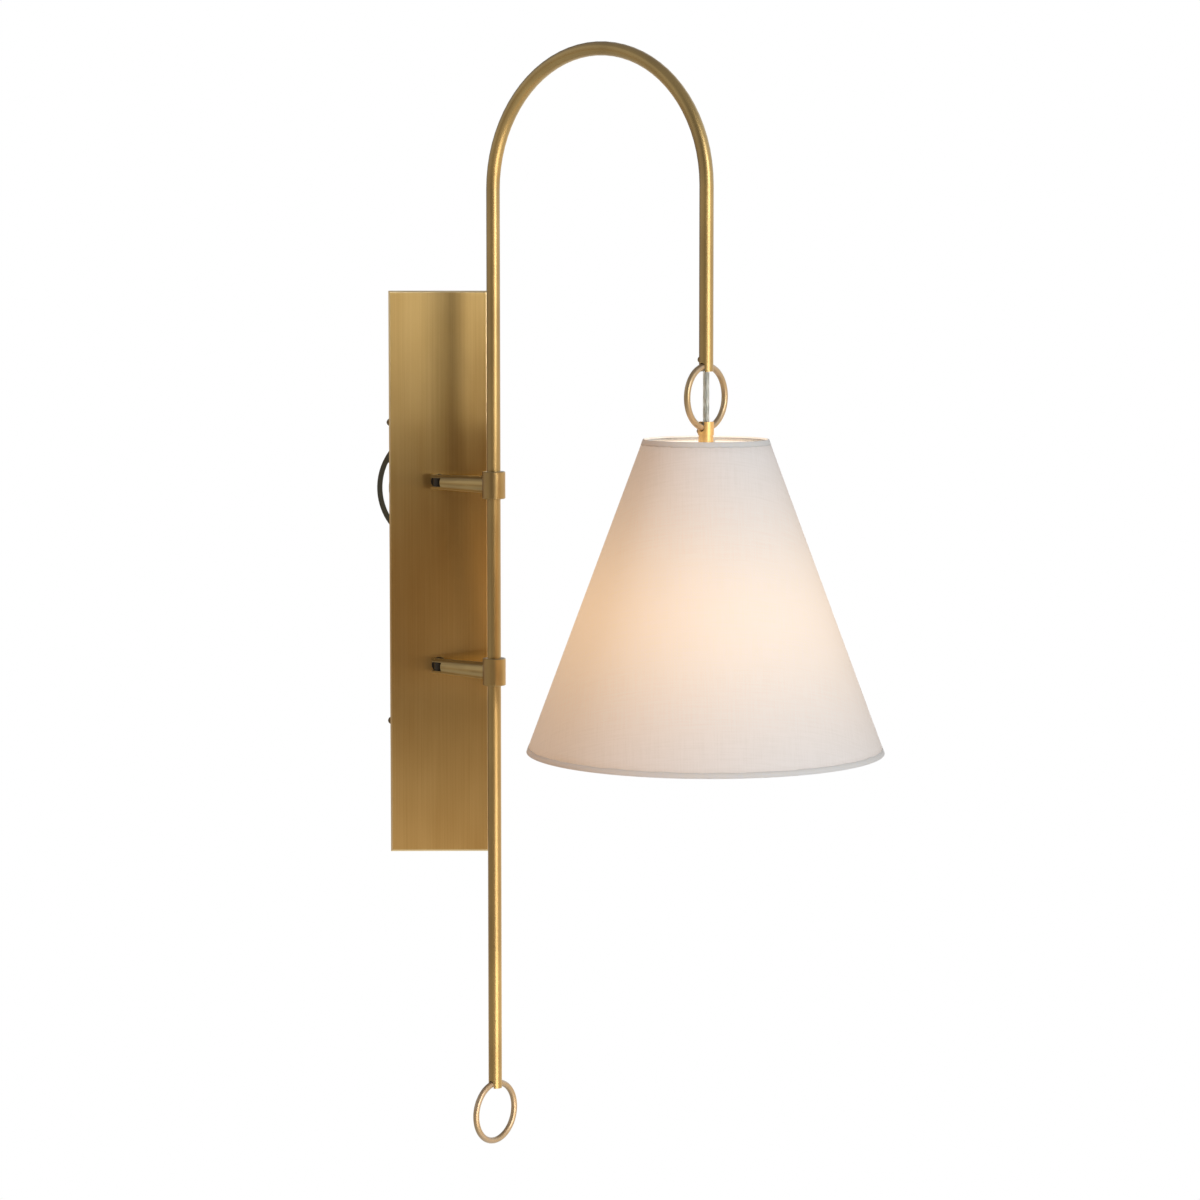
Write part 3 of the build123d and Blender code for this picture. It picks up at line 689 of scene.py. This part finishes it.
def lap_rise(angle):
    """How far the lapped end of the cloth stands out at an angle: a step at the back that fades away."""
    linen = bpy.context.scene.lamp_linen
    past_edge = (angle - BACK) * SHADE_TOP_RADIUS / linen.lap
    return linen.lap_rise * max(0.0, 1.0 - past_edge)


def shade_wall(angle):
    """Outline of the cloth and its backing at an angle: up the outside and down the inside."""
    heights = [SHADE_HEIGHT * i / SHADE_ROWS for i in range(SHADE_ROWS + 1)]
    outside = [(cone_radius(height) + lap_rise(angle), height) for height in heights]
    inside = [(cone_radius(height) - level_wall(), height) for height in reversed(heights)]
    return outside + inside


def rolled_edge(rim, inward):
    """Outline function of the cloth rolled over a rim: inward is -1 at the top rim and 1 at the bottom."""
    linen = bpy.context.scene.lamp_linen
    wall = level_wall()
    outer, inner = linen.tape, -wall - linen.tape
    half = (outer - inner) / 2

    def outline(angle):
        ripple = HEM_RIPPLE * sum(sin(waves * angle + start) for waves, start in HEM_WAVES)
        hem = rim + inward * (linen.hem + ripple)
        fold = (hem + rim) / 2
        points = [
            (cone_radius(hem), hem),
            (cone_radius(hem) + outer + lap_rise(angle), hem),
            (cone_radius(fold) + outer + HEM_BULGE + lap_rise(angle), fold),
        ]
        for step in range(EDGE_STEPS + 1):
            turn = pi * step / EDGE_STEPS
            offset = outer - half + half * cos(turn)
            height = rim - inward * linen.tape * sin(turn)
            points.append((cone_radius(rim) + offset, height))
        turn_in = rim + inward * linen.turn_in
        points.append((cone_radius(turn_in) + inner, turn_in))
        points.append((cone_radius(turn_in) - wall, turn_in))
        points.append((cone_radius(rim) - wall, rim))
        points.append((cone_radius(rim), rim))
        return points

    return outline


def cord_route():
    """Points of the cord's middle line: up the short leg, over the arch and down the rod to its upper
    collar."""
    cord = bpy.context.scene.lamp_cord
    leg, rod = SHADE_AXIS.xy, ROD_AXIS.xy
    peak = CORD_HIGH.z - cord.diameter / 2
    spring = peak - ARCH_RADIUS
    # A corner's weight makes the curve inside it a quarter circle
    round_corner = sqrt(0.5)
    stations = (
        (leg, CORD_LOW.z, 1),
        (leg, (CORD_LOW.z + spring) / 2, 1),
        (leg, spring, 1),
        (leg, peak, round_corner),
        ((leg + rod) / 2, peak, 1),
        (rod, peak, round_corner),
        (rod, spring, 1),
        (rod, (ROD_AXIS.z + spring) / 2, 1),
        (rod, ROD_AXIS.z, 1),
    )
    route = bpy.data.curves.new("cord_route", "CURVE")
    route.dimensions = "3D"
    line = route.splines.new("NURBS")
    line.points.add(len(stations) - 1)
    for point, (place, height, weight) in zip(line.points, stations):
        point.co = (*place, height, weight)
    line.order_u = 3
    line.use_endpoint_u = True
    line.use_bezier_u = True
    line.resolution_u = cord.steps
    drawn = bpy.data.objects.new("cord_route", route)
    mesh = bpy.data.meshes.new_from_object(drawn)
    points = [vertex.co.copy() for vertex in mesh.vertices]
    bpy.data.meshes.remove(mesh)
    bpy.data.objects.remove(drawn)
    bpy.data.curves.remove(route)
    return points


def cord_tube(bits, points, radius, sides, offset=0.0, phase=0.0):
    """Adds a tube along the cord's points, or one that winds round them at an offset."""
    twist = bpy.context.scene.lamp_cord.twist
    across = Vector((cos(ARM_TURN), sin(ARM_TURN), 0.0))
    flat_normal = Vector((-across.y, across.x, 0.0))
    along = 0.0
    rings = []
    for i, point in enumerate(points):
        before, after = points[max(i - 1, 0)], points[min(i + 1, len(points) - 1)]
        beside = (after - before).normalized().cross(flat_normal)
        along += (point - before).length
        turn = tau * along / twist + phase
        heart = point + (flat_normal * cos(turn) + beside * sin(turn)) * offset
        spokes = [tau * k / sides for k in range(sides)]
        ring = [heart + (flat_normal * cos(s) + beside * sin(s)) * radius for s in spokes]
        rings.append([bits.verts.new(place) for place in ring])
    for ring, following in zip(rings, rings[1:]):
        for k in range(sides):
            bits.faces.new((ring[k - 1], ring[k], following[k], following[k - 1]))
    bits.faces.new(reversed(rings[0]))
    bits.faces.new(rings[-1])


# Operators, one for each group of pieces


class LAMP_OT_plate(bpy.types.Operator):
    """Finish the wall plate"""

    bl_idname = "lamp.plate"
    bl_label = "Wall plate"

    def execute(self, context):
        dress(brushed_brass(), "backplate")
        return {"FINISHED"}


class LAMP_OT_wall_hardware(bpy.types.Operator):
    """Finish the crossbar, the bracket and their fasteners"""

    bl_idname = "lamp.wall_hardware"
    bl_label = "Wall hardware"

    def execute(self, context):
        # A baked coat on stamped steel: dull dark grey
        coated = bare_metal(
            "dark coated steel", linear("#4b4f47"), roughness=0.55, cell=1.5 * MM, spread=0.1, metallic=0.0
        )
        dress(coated, "crossbar")
        # Zinc plate: pale grey with a faint mottle
        zinc = bare_metal("zinc-plated steel", linear("#b9bbb8"), roughness=0.38, cell=4 * MM)
        dress(zinc, "mounting_bracket", "crossbar_nipple", "crossbar_nut", "knuckle_washers", "knuckle_nuts")
        dress(zinc, "shade_nipple", "spider_nut", "collar_grubs", "pivot_pins")
        # Dyed plate: a green that still shines as metal
        green = bare_metal("green-plated steel", linear("#3c7a45"), roughness=0.4, cell=1.5 * MM)
        dress(green, "ground_screw")
        # Blackened and rubbed: brown with a low sheen
        blackened = bare_metal("blackened screw steel", linear("#6a573c"), roughness=0.42, cell=1.0 * MM)
        dress(blackened, "side_screws")
        return {"FINISHED"}


class LAMP_OT_swing_arms(bpy.types.Operator):
    """Finish the knuckles, arms and collars"""

    bl_idname = "lamp.swing_arms"
    bl_label = "Swing arms"

    def execute(self, context):
        brass = context.scene.lamp_brass
        # Turned and toned: soft clouds, and no lines that show
        collar = drawn_brass(
            "turned brass collar", brass.tube_colour, brass.tube_toner, roughness=0.3,
            line_size=(20 * MM, 20 * MM, 20 * MM),
        )
        dress(collar, "upper_collar", "lower_collar")
        # Painted shade: the knuckles are nearly black, so that the fork's slot reads as deep shade, with fine
        # level lines
        dark = drawn_brass(
            "knuckle brass darkened for painted shade", brass.knuckle_shade_colour, brass.knuckle_shade_mottle, roughness=0.5,
            line_size=(25 * MM, 25 * MM, 0.9 * MM),
        )
        dress(dark, "upper_knuckle", "lower_knuckle")
        # Drawn and toned: broad streaks along the arm
        arm = drawn_brass(
            "drawn brass arm", brass.tube_colour, brass.tube_toner, roughness=0.36,
            line_size=(60 * MM, 3.2 * MM, 3.2 * MM), streak=0.6, follow=along_arms,
        )
        dress(arm, "upper_arm", "lower_arm")
        # Moulded nylon: even black with a soft sheen
        nylon = plain_plastic("black nylon", linear("#1d1c1b"), roughness=0.45, cell=1 * MM)
        dress(nylon, "fork_washers")
        return {"FINISHED"}


class LAMP_OT_crook(bpy.types.Operator):
    """Finish the rod, its arch and the plugs in its ends"""

    bl_idname = "lamp.crook"
    bl_label = "Crook"

    def execute(self, context):
        brass = context.scene.lamp_brass
        # Drawn and toned: fine lines that follow the bend
        tube = drawn_brass(
            "drawn brass tube", brass.tube_colour, brass.tube_toner, roughness=0.42,
            line_size=(0.9 * MM, 0.9 * MM, 260 * MM), follow=along_crook,
        )
        dress(tube, "crook_tube", "foot_plug", "hook_plug")
        return {"FINISHED"}


class LAMP_OT_rings(bpy.types.Operator):
    """Finish the rings and the hub"""

    bl_idname = "lamp.rings"
    bl_label = "Rings and hub"

    def execute(self, context):
        brass = context.scene.lamp_brass
        # Bent wire, rubbed satin: paler than the tube
        wire = drawn_brass(
            "satin brass wire", brass.ring_colour, brass.tube_colour, roughness=0.46,
            line_size=(12 * MM, 12 * MM, 12 * MM),
        )
        dress(wire, "foot_ring", "hanger_ring", "ring_screws")
        # Turned brass, brighter and yellower than the rest: partly its own bright finish, partly painted
        # light from the bulb below
        bright = drawn_brass(
            "hub brass brightened for painted light", brass.hub_lit_colour, brass.ring_colour, roughness=0.5,
            line_size=(12 * MM, 12 * MM, 12 * MM),
        )
        dress(bright, "hub")
        return {"FINISHED"}


class LAMP_OT_cord(bpy.types.Operator):
    """Make the clear cord and its two twisted strands"""

    bl_idname = "lamp.cord"
    bl_label = "Clear cord"

    def execute(self, context):
        cord = context.scene.lamp_cord
        points = cord_route()
        # The plain jacket needs only every fourth point of the twisted strands
        jacket = bmesh.new()
        cord_tube(jacket, points[::4], cord.diameter / 2, JACKET_SIDES)
        piece_from("cord_jacket", jacket, clear_pvc(), "swing_arm", ["lamp_cord"])
        strands = bmesh.new()
        strand_radius = cord.strand_diameter / 2
        for phase in (0.0, pi):
            cord_tube(strands, points, strand_radius, STRAND_SIDES, offset=strand_radius, phase=phase)
        # Tinned copper: dull silver
        tinned = bare_metal(
            "tinned copper strand", cord.strand_colour, roughness=0.6, cell=0.8 * MM, spread=0.1
        )
        piece_from("cord_strands", strands, tinned, "swing_arm", ["lamp_cord"])
        return {"FINISHED"}


class LAMP_OT_shade(bpy.types.Operator):
    """Make the linen shade with its folded edges, and finish its wire frame"""

    bl_idname = "lamp.shade"
    bl_label = "Linen shade"

    def execute(self, context):
        linen = context.scene.lamp_linen
        base = Vector((SHADE_AXIS.x, SHADE_AXIS.y, SHADE_LOW.z))
        angles = shade_angles(linen.sides)
        woven = lit_linen("plain-woven linen", linen.colour, share=1.0)
        cloth = piece_from(
            "shade_linen", spin(shade_wall, angles), woven, "swing_arm", ["shade"], base
        )
        doubled = lit_linen("rolled linen edge", linen.edge_colour, share=linen.edge_light)
        edges = []
        for name, node, rim, inward in (
            ("shade_top_edge", "shade_top_trim", SHADE_HEIGHT, -1),
            ("shade_bottom_edge", "shade_bottom_trim", 0.0, 1),
        ):
            outline = rolled_edge(rim, inward)
            edges.append(piece_from(name, spin(outline, angles), doubled, "swing_arm", [node], base))
        self.declare_cloth(cloth, edges)
        # White enamel on wire: smooth with a slight gloss
        enamel = bare_metal(
            "white enamelled wire", linear("#e8e4dc"), roughness=0.35, cell=2 * MM, spread=0.05, metallic=0.0
        )
        dress(enamel, "shade_top_wire", "shade_bottom_wire", "shade_spider")
        return {"FINISHED"}

    def declare_cloth(self, cloth, edges):
        """Takes the cloth and its edges, and does nothing with them."""


class LAMP_OT_socket(bpy.types.Operator):
    """Finish the socket and the lit bulb"""

    bl_idname = "lamp.socket"
    bl_label = "Socket and bulb"

    def execute(self, context):
        # Pressed brass, left bright: a clear yellow shine
        bright = bare_metal("bright socket brass", linear("#d0ab68"), roughness=0.25, cell=6 * MM)
        dress(bright, "socket_cap", "socket_shell", "socket_screw_shell", "socket_contact", "bulb_base")
        # Pressed fibre: matt brown
        fibre = plain_plastic("pressed fibre", linear("#7d654a"), roughness=0.8, cell=1 * MM)
        dress(fibre, "socket_liner")
        # Moulded phenolic: dark brown with a soft sheen
        phenolic = plain_plastic("moulded phenolic", linear("#2a2624"), roughness=0.4, cell=2 * MM)
        dress(phenolic, "socket_insulator")
        dress(frosted_bulb(), "bulb_glass")
        return {"FINISHED"}


# A soft light's place is its azimuth and elevation in degrees and its distance in metres.
# A strip light stands upright from a low to a high level in metres. It shines on the named CAD nodes only, or
# on everything where none is named.
# A tier of the room's walls has a colour at the left, front and right. It fades in between two heights, each
# the sine of an angle above level.
SoftLight = namedtuple("SoftLight", "name power colour azimuth elevation distance size")
StripLight = namedtuple("StripLight", "name colour azimuth width low high lit")
WallTier = namedtuple("WallTier", "left front right start end")

WHITE = (1.0, 1.0, 1.0)
AMBER = (1.0, 0.42, 0.08)


class LAMP_OT_stage(bpy.types.Operator):
    """Set up the floor, the lights, the world and the camera"""

    bl_idname = "lamp.stage"
    bl_label = "Studio"

    def execute(self, context):
        studio = context.scene.lamp_studio
        self.lay_floor(context, studio)
        self.hang_soft_lights(context, studio)
        self.hang_strip_lights(context, studio)
        self.light_world(context, studio)
        self.place_camera(context, studio)
        context.scene.view_settings.view_transform = "Standard"
        return {"FINISHED"}

    def lay_floor(self, context, studio):
        """A round floor of matt pale paper, far below the lamp, that melts into the white background."""
        bits = bmesh.new()
        bmesh.ops.create_circle(bits, cap_ends=True, radius=FLOOR_RADIUS, segments=64)
        mesh = bpy.data.meshes.new("floor")
        bits.to_mesh(mesh)
        bits.free()
        floor = bpy.data.objects.new("floor", mesh)
        floor.location.z = -studio.floor_drop
        floor.visible_glossy = False
        context.scene.collection.objects.link(floor)
        material, tree, shader, _ = start_finish(
            "pale studio paper", Roughness=0.9,
            Base_Color=solid(linear("#efefee")), Emission_Color=solid(WHITE),
        )
        lift = add(
            tree, "ShaderNodeMath", {0: self.clear_rays(tree), 1: studio.floor_light}, operation="MULTIPLY"
        )
        feed(tree, shader, Emission_Strength=lift.outputs[0])
        mesh.materials.append(material)

    def clear_rays(self, tree):
        """1 for rays that show the background itself: to the camera and through clear plastic."""
        rays = add(tree, "ShaderNodeLightPath").outputs
        clear = add(
            tree, "ShaderNodeMath", {0: rays["Is Camera Ray"], 1: rays["Is Transmission Ray"]},
            operation="MAXIMUM",
        )
        return clear.outputs[0]

    def hang_soft_lights(self, context, studio):
        """Soft lights that shade the lamp and don't show in its gloss."""
        for soft in (
            SoftLight("key", studio.key, WHITE, azimuth=35, elevation=6, distance=2.6, size=(0.7, 2.6)),
            SoftLight("fill", studio.fill, AMBER, azimuth=-62, elevation=4, distance=2.4, size=(1.6, 2.0)),
            SoftLight(
                "overhead", studio.overhead, WHITE, azimuth=10, elevation=75, distance=2.2, size=(2.0, 2.0)
            ),
            SoftLight("back", studio.back, WHITE, azimuth=180, elevation=4, distance=2.4, size=(1.0, 1.0)),
        ):
            turn, lift = radians(soft.azimuth), radians(soft.elevation)
            away = Vector((sin(turn) * cos(lift), -cos(turn) * cos(lift), sin(lift)))
            place = CAD_MIDDLE + away * soft.distance
            lamp = self.area_light(context, soft.name, soft.power, soft.colour, soft.size, place, -away)
            lamp.visible_glossy = False

    def hang_strip_lights(self, context, studio):
        """Upright strip lights that show only in gloss, as a bright line down the round brass. The low one is
        kept off the flat plate, which would mirror it as a patch."""
        round_brass = ("crook_tube", "foot_plug", "foot_ring", "upper_collar", "lower_collar")
        for strip in (
            StripLight("strip", (0.98, 1.0, 1.0), azimuth=39, width=2.0, low=-0.16, high=3.4, lit=()),
            StripLight(
                "low_strip", (0.7, 0.62, 0.54), azimuth=31, width=4.2, low=-3.1, high=-1.25, lit=round_brass
            ),
        ):
            turn = radians(strip.azimuth)
            away = Vector((sin(turn), -cos(turn), 0.0))
            level = (strip.low + strip.high) / 2
            place = Vector((*CAD_MIDDLE.xy, level)) + away * STRIP_DISTANCE
            size = (strip.width, strip.high - strip.low)
            # An area lamp of 4 watts a square metre is as bright as white
            power = 4 * studio.strip * size[0] * size[1]
            lamp = self.area_light(context, strip.name, power, strip.colour, size, place, -away)
            lamp.visible_diffuse = False
            lamp.visible_transmission = False
            if strip.lit:
                self.light_only(lamp, strip.lit)

    def area_light(self, context, name, power, colour, size, place, facing):
        """A rectangular lamp at a place, facing along a direction."""
        light = bpy.data.lights.new(name, "AREA")
        light.shape = "RECTANGLE"
        light.size, light.size_y = size
        light.energy = power
        light.color = colour
        lamp = bpy.data.objects.new(name, light)
        lamp.location = place
        lamp.rotation_euler = facing.to_track_quat("-Z", "Y").to_euler()
        context.scene.collection.objects.link(lamp)
        return lamp

    def light_only(self, lamp, nodes):
        """Keeps a lamp's light off everything but some CAD nodes."""
        lit = bpy.data.collections.new(f"lit by {lamp.name}")
        for name in nodes:
            lit.objects.link(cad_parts[name])
        lamp.light_linking.receiver_collection = lit

    def light_world(self, context, studio):
        """White to the camera and through clear plastic, an even soft light on the lamp, and a plain room in
        its gloss."""
        world = bpy.data.worlds.new("studio")
        context.scene.world = world
        world.use_nodes = True
        tree = world.node_tree
        tree.nodes.clear()
        gloss = add(tree, "ShaderNodeLightPath").outputs["Is Glossy Ray"]
        seen = add(tree, "ShaderNodeBackground", {"Color": solid(WHITE), "Strength": 1.0})
        soft = add(tree, "ShaderNodeBackground", {"Color": solid(WHITE), "Strength": studio.ambient})
        room = add(tree, "ShaderNodeBackground", {"Color": self.room(tree), "Strength": 1.0})
        lit = add(tree, "ShaderNodeMixShader", {0: gloss, 1: soft.outputs[0], 2: room.outputs[0]})
        final = add(
            tree, "ShaderNodeMixShader", {0: self.clear_rays(tree), 1: lit.outputs[0], 2: seen.outputs[0]}
        )
        add(tree, "ShaderNodeOutputWorld", {"Surface": final.outputs[0]})

    def room(self, tree):
        """Colours of what the brass mirrors: a floor, four tiers of walls and a ceiling."""
        place = add(tree, "ShaderNodeTexCoord").outputs["Generated"]
        axes = add(tree, "ShaderNodeSeparateXYZ", {0: place})
        height = axes.outputs["Z"]
        ahead = add(tree, "ShaderNodeMath", {0: axes.outputs["Y"], 1: -1.0}, operation="MULTIPLY")
        turn = add(tree, "ShaderNodeMath", {0: axes.outputs["X"], 1: ahead.outputs[0]}, operation="ARCTAN2")
        degrees = add(tree, "ShaderNodeMath", {0: turn.outputs[0]}, operation="DEGREES").outputs[0]
        floor_left, floor_front, floor_right = (0.6, 0.6, 0.58), (0.8, 0.8, 0.76), (1.0, 0.98, 0.92)
        ceiling = (0.4, 0.4, 0.42)
        colour = self.walls(tree, degrees, floor_left, floor_front, floor_right)
        for tier in (
            WallTier((0.6, 0.5, 0.34), (1.15, 0.85, 0.5), (1.5, 1.25, 0.85), start=-0.33, end=-0.28),
            WallTier((0.42, 0.4, 0.42), (0.74, 0.7, 0.7), (2.0, 1.7, 1.25), start=-0.215, end=-0.2),
            WallTier((0.4, 0.27, 0.13), (0.07, 0.04, 0.015), (0.95, 0.66, 0.36), start=-0.153, end=-0.143),
            WallTier((0.76, 0.76, 0.75), (0.16, 0.16, 0.16), (1.08, 1.12, 1.16), start=-0.055, end=-0.02),
            WallTier(ceiling, ceiling, ceiling, start=0.5, end=0.75),
        ):
            walls = self.walls(tree, degrees, tier.left, tier.front, tier.right)
            share = add(
                tree, "ShaderNodeMapRange",
                {"Value": height, "From Min": tier.start, "From Max": tier.end},
            )
            mixed = add(tree, "ShaderNodeMix", {0: share.outputs[0], 6: colour, 7: walls}, data_type="RGBA")
            colour = mixed.outputs[2]
        return colour

    def walls(self, tree, degrees, left, front, right):
        """Colours of the room by the direction round the lamp, in degrees from straight ahead of the wall."""
        stops = ((-150, front), (-115, left), (-55, left), (-25, front), (30, front), (80, right))
        low, high = -180, 180
        place = add(tree, "ShaderNodeMapRange", {"Value": degrees, "From Min": low, "From Max": high})
        ramp = add(tree, "ShaderNodeValToRGB", {0: place.outputs[0]})
        elements = ramp.color_ramp.elements
        for index, (direction, colour) in enumerate(stops):
            share = (direction - low) / (high - low)
            # A new ramp has two stops already
            stop = elements[index] if index < 2 else elements.new(share)
            stop.position = share
            stop.color = solid(colour)
        return ramp.outputs["Color"]

    def place_camera(self, context, studio):
        """A long lens far in front of the wall, which looks slightly down."""
        lens = bpy.data.cameras.new("camera")
        lens.lens = studio.lens
        lens.sensor_width = SENSOR_WIDTH
        lens.shift_y = studio.shift
        camera = bpy.data.objects.new("camera", lens)
        camera.location = studio.camera_place
        camera.rotation_euler = (pi / 2 - studio.camera_pitch, 0.0, -studio.camera_yaw)
        context.scene.collection.objects.link(camera)
        context.scene.camera = camera


OPERATORS = (
    LAMP_OT_plate,
    LAMP_OT_wall_hardware,
    LAMP_OT_swing_arms,
    LAMP_OT_crook,
    LAMP_OT_rings,
    LAMP_OT_cord,
    LAMP_OT_shade,
    LAMP_OT_socket,
    LAMP_OT_stage,
)
SETTINGS = {
    "lamp_brass": LampBrass,
    "lamp_linen": LampLinen,
    "lamp_cord": LampCord,
    "lamp_studio": LampStudio,
}


class LAMP_PT_panel(bpy.types.Panel):
    """Lists the lamp's pieces and their settings"""

    bl_idname = "LAMP_PT_panel"
    bl_label = "Swing arm wall lamp"
    bl_space_type = "VIEW_3D"
    bl_region_type = "UI"
    bl_category = "Lamp"

    def draw(self, context):
        for operator in OPERATORS:
            self.layout.operator(operator.bl_idname)
        for group in SETTINGS:
            settings = getattr(context.scene, group)
            box = self.layout.box()
            for name in settings.__annotations__:
                box.prop(settings, name)


def register():
    """Adds the lamp's classes and settings to the session."""
    for kind in (*SETTINGS.values(), *OPERATORS, LAMP_PT_panel):
        bpy.utils.register_class(kind)
    for name, kind in SETTINGS.items():
        setattr(bpy.types.Scene, name, PointerProperty(type=kind))


def unregister():
    """Takes the lamp's classes and settings out again."""
    for name in SETTINGS:
        delattr(bpy.types.Scene, name)
    for kind in (LAMP_PT_panel, *reversed(OPERATORS), *SETTINGS.values()):
        bpy.utils.unregister_class(kind)


def main():
    """Makes every piece in order."""
    register()
    for operator in OPERATORS:
        group, name = operator.bl_idname.split(".")
        getattr(getattr(bpy.ops, group), name)()


if __name__ == "__main__":
    main()
